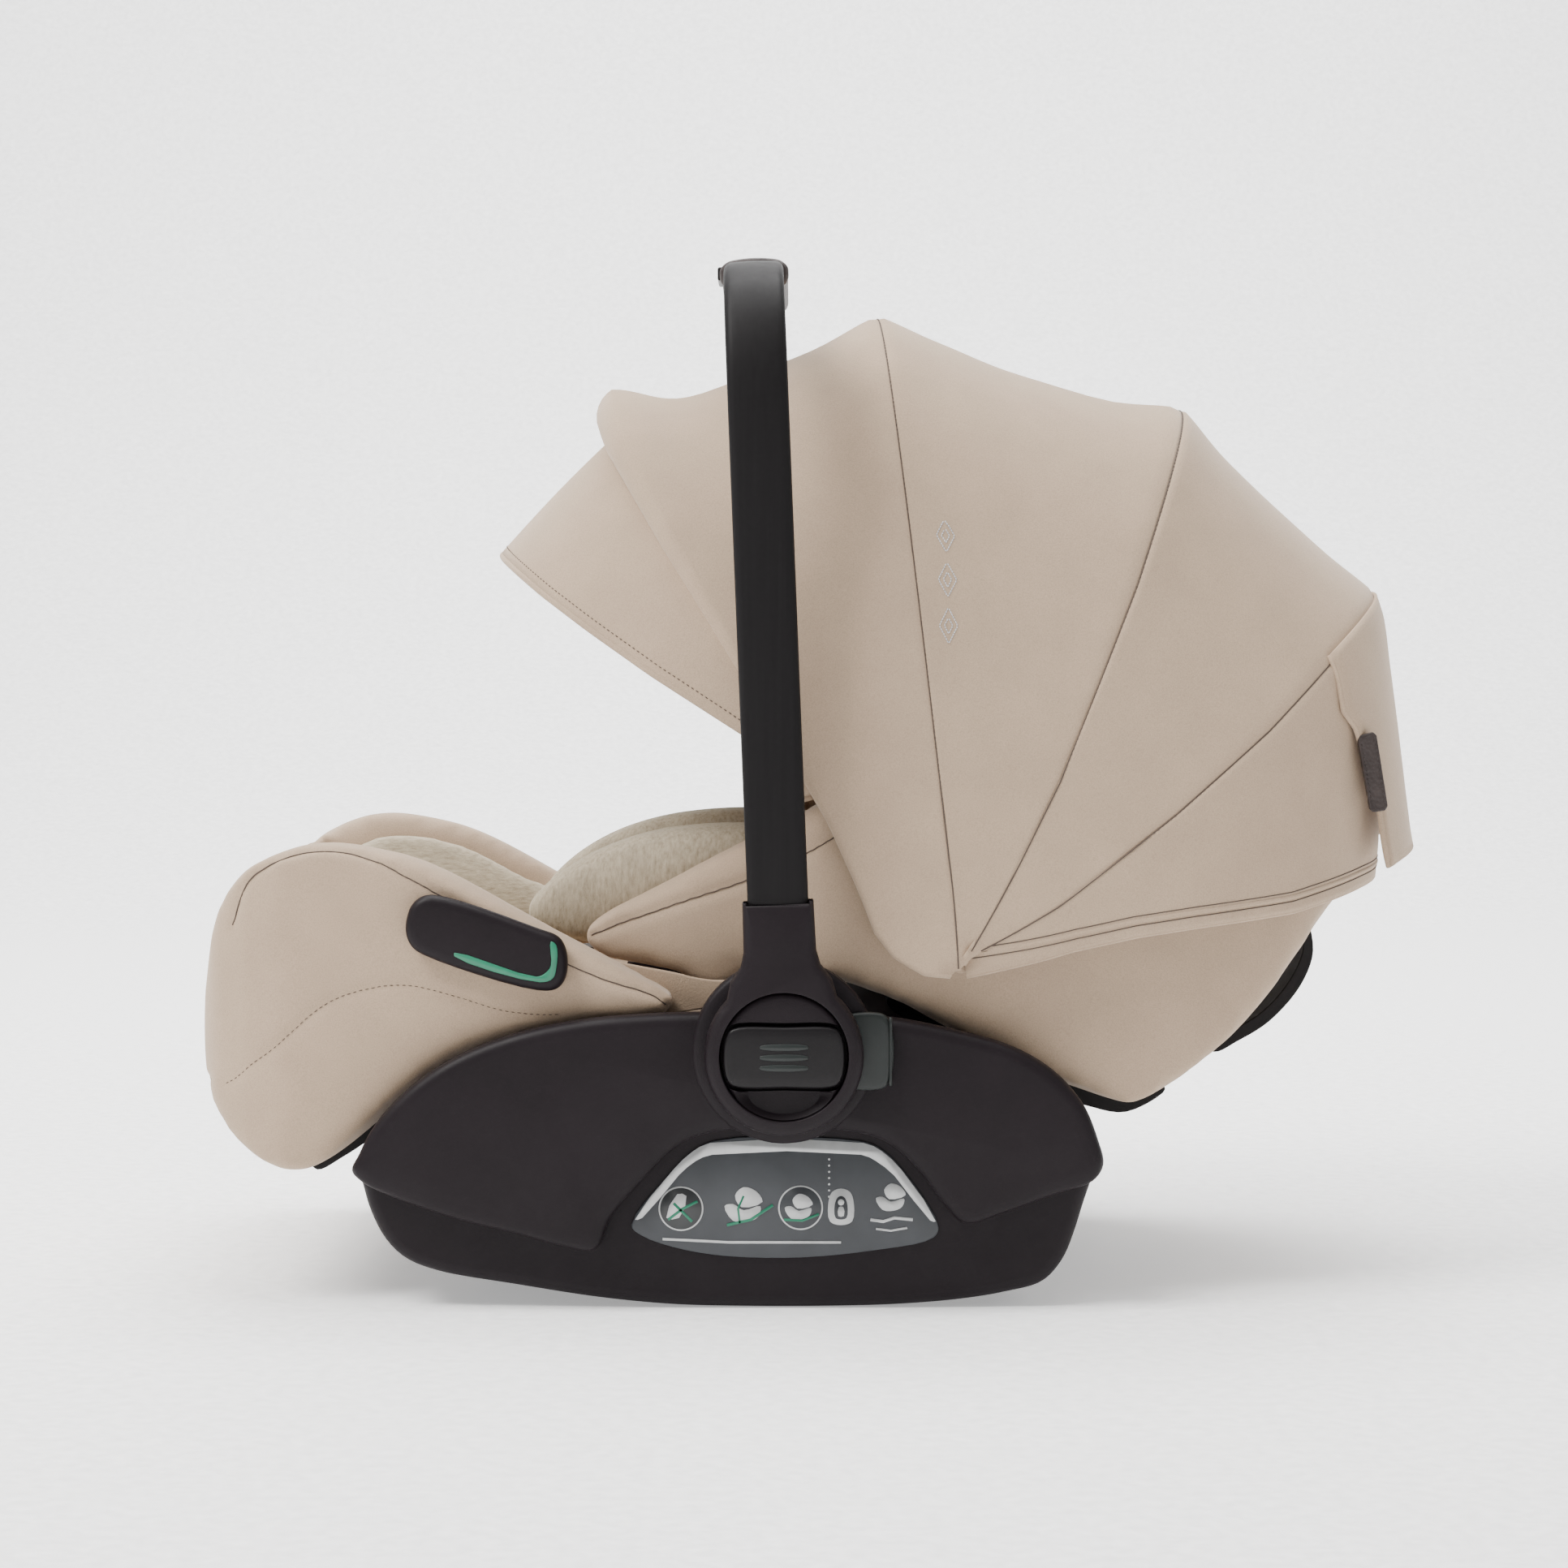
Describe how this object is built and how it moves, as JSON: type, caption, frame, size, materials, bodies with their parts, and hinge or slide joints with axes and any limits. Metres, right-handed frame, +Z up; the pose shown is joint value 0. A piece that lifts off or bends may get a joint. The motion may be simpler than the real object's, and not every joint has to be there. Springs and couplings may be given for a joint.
{
  "type": "infant car seat",
  "caption": "Lie-flat rear-facing infant car seat with rocker base, swivelling carry handle, padded leg and back sections, harness and folding fan canopy.",
  "frame": {"origin": "the floor point straight below the handle axis, on the symmetry plane", "axes": "+X to the head end, -Y to the child's left, +Z up"},
  "size_m": [0.687, 0.444, 0.5881],
  "materials": {
    "black_plastic": "fine textured, warm black",
    "button_plastic": "satin warm black",
    "black_aluminium": "black anodised, satin",
    "brown_leatherette": "grained leatherette",
    "taupe_fabric": "soft dense knit over foam",
    "melange_knit": "soft melange jersey over foam",
    "webbing": "woven polyester webbing",
    "grey_lever": "satin dark grey",
    "label_film": "printed film",
    "green_inlay": "matt green",
    "red_button": "satin red",
    "steel": "bright",
    "bow_plastic": "smooth black"
  },
  "bodies": {
    "base": {"base_tub": "black_plastic", "side_cover_left": "black_plastic", "side_cover_right": "black_plastic", "info_label_left": "label_film", "info_label_right": "label_film", "axle_left": "steel", "axle_right": "steel", "leg_cover": "taupe_fabric", "leg_shell": "black_plastic", "leg_pad": "melange_knit", "belt_guide_left": "black_plastic", "belt_guide_right": "black_plastic", "guide_line_left": "green_inlay", "guide_line_right": "green_inlay", "adjuster_housing": "black_plastic", "adjuster_strap": "webbing"},
    "handle": {"handle_arch": "black_aluminium", "handle_grip": "brown_leatherette", "handle_fork_left": "black_plastic", "handle_fork_right": "black_plastic", "hub_cap_left": "black_plastic", "hub_cap_right": "black_plastic"},
    "grip_latch": {"grip_latch": "black_plastic"},
    "handle_button_left": {"handle_button_left": "button_plastic"},
    "handle_button_right": {"handle_button_right": "button_plastic"},
    "release_lever_left": {"release_lever_left": "grey_lever"},
    "release_lever_right": {"release_lever_right": "grey_lever"},
    "adjuster_button": {"adjuster_button": "grey_lever"},
    "backrest": {"back_cover": "taupe_fabric", "back_shell": "black_plastic", "back_pad": "melange_knit", "insert_bolster_left": "melange_knit", "insert_bolster_right": "melange_knit", "rear_belt_guide": "black_plastic", "harness_strap_left": "webbing", "harness_strap_right": "webbing", "harness_pad_left": "taupe_fabric", "harness_pad_right": "taupe_fabric", "buckle": "black_plastic", "buckle_tongue_left": "steel", "buckle_tongue_right": "steel", "crotch_strap": "webbing", "canopy_pin_left": "black_plastic", "canopy_pin_right": "black_plastic", "rear_bow": "bow_plastic", "base_panel": "taupe_fabric", "rear_flap": "taupe_fabric", "flap_tag": "brown_leatherette"},
    "headrest": {"headrest": "taupe_fabric"},
    "buckle_button": {"buckle_button": "red_button"},
    "canopy_mid": {"mid_bow": "bow_plastic", "rear_panel": "taupe_fabric"},
    "canopy_front": {"front_bow": "bow_plastic", "visor_bow": "bow_plastic", "front_panel": "taupe_fabric", "top_panel": "taupe_fabric"},
    "visor": {"visor_rim": "bow_plastic", "visor_panel": "taupe_fabric"}
  },
  "joints": [
    {"name": "handle_turn", "type": "hinge", "parent": "base", "child": "handle", "pos_m": [0, 0, 0.142], "axis": [0, 1, 0], "range_deg": [-100, 104]},
    {"name": "grip_latch_press", "type": "slide", "parent": "handle", "child": "grip_latch", "axis": [1, 0, 0], "range_m": [0, 0.003], "stiffness_N_per_m": 400},
    {"name": "handle_button_left_press", "type": "slide", "parent": "handle", "child": "handle_button_left", "axis": [0, 1, 0], "range_m": [0, 0.0035], "stiffness_N_per_m": 400},
    {"name": "handle_button_right_press", "type": "slide", "parent": "handle", "child": "handle_button_right", "axis": [0, -1, 0], "range_m": [0, 0.0035], "stiffness_N_per_m": 400},
    {"name": "release_lever_left_pull", "type": "slide", "parent": "base", "child": "release_lever_left", "axis": [-1, 0, 0], "range_m": [0, 0.005], "stiffness_N_per_m": 400},
    {"name": "release_lever_right_pull", "type": "slide", "parent": "base", "child": "release_lever_right", "axis": [-1, 0, 0], "range_m": [0, 0.005], "stiffness_N_per_m": 400},
    {"name": "adjuster_button_press", "type": "slide", "parent": "base", "child": "adjuster_button", "axis": [0, 0, -1], "range_m": [0, 0.003], "stiffness_N_per_m": 400},
    {"name": "recline", "type": "hinge", "parent": "base", "child": "backrest", "pos_m": [0, 0, 0.142], "axis": [0, -1, 0], "range_deg": [0, 10]},
    {"name": "headrest_slide", "type": "slide", "parent": "backrest", "child": "headrest", "axis": [-1, 0, 0], "range_m": [0, 0.05]},
    {"name": "buckle_button_press", "type": "slide", "parent": "backrest", "child": "buckle_button", "axis": [0, 0, -1], "range_m": [0, 0.003], "stiffness_N_per_m": 400},
    {"name": "canopy_mid_fold", "type": "hinge", "parent": "backrest", "child": "canopy_mid", "pos_m": [0.1, 0, 0.188], "axis": [0, 1, 0], "range_deg": [0, 22], "deforming": ["rear_panel"]},
    {"name": "canopy_front_fold", "type": "hinge", "parent": "canopy_mid", "child": "canopy_front", "pos_m": [0.1, 0, 0.188], "axis": [0, 1, 0], "range_deg": [0, 25], "deforming": ["top_panel"]},
    {"name": "visor_fold", "type": "hinge", "parent": "canopy_front", "child": "visor", "pos_m": [0.1, 0, 0.188], "axis": [0, 1, 0], "range_deg": [0, 14], "deforming": ["visor_panel"]}
  ]
}
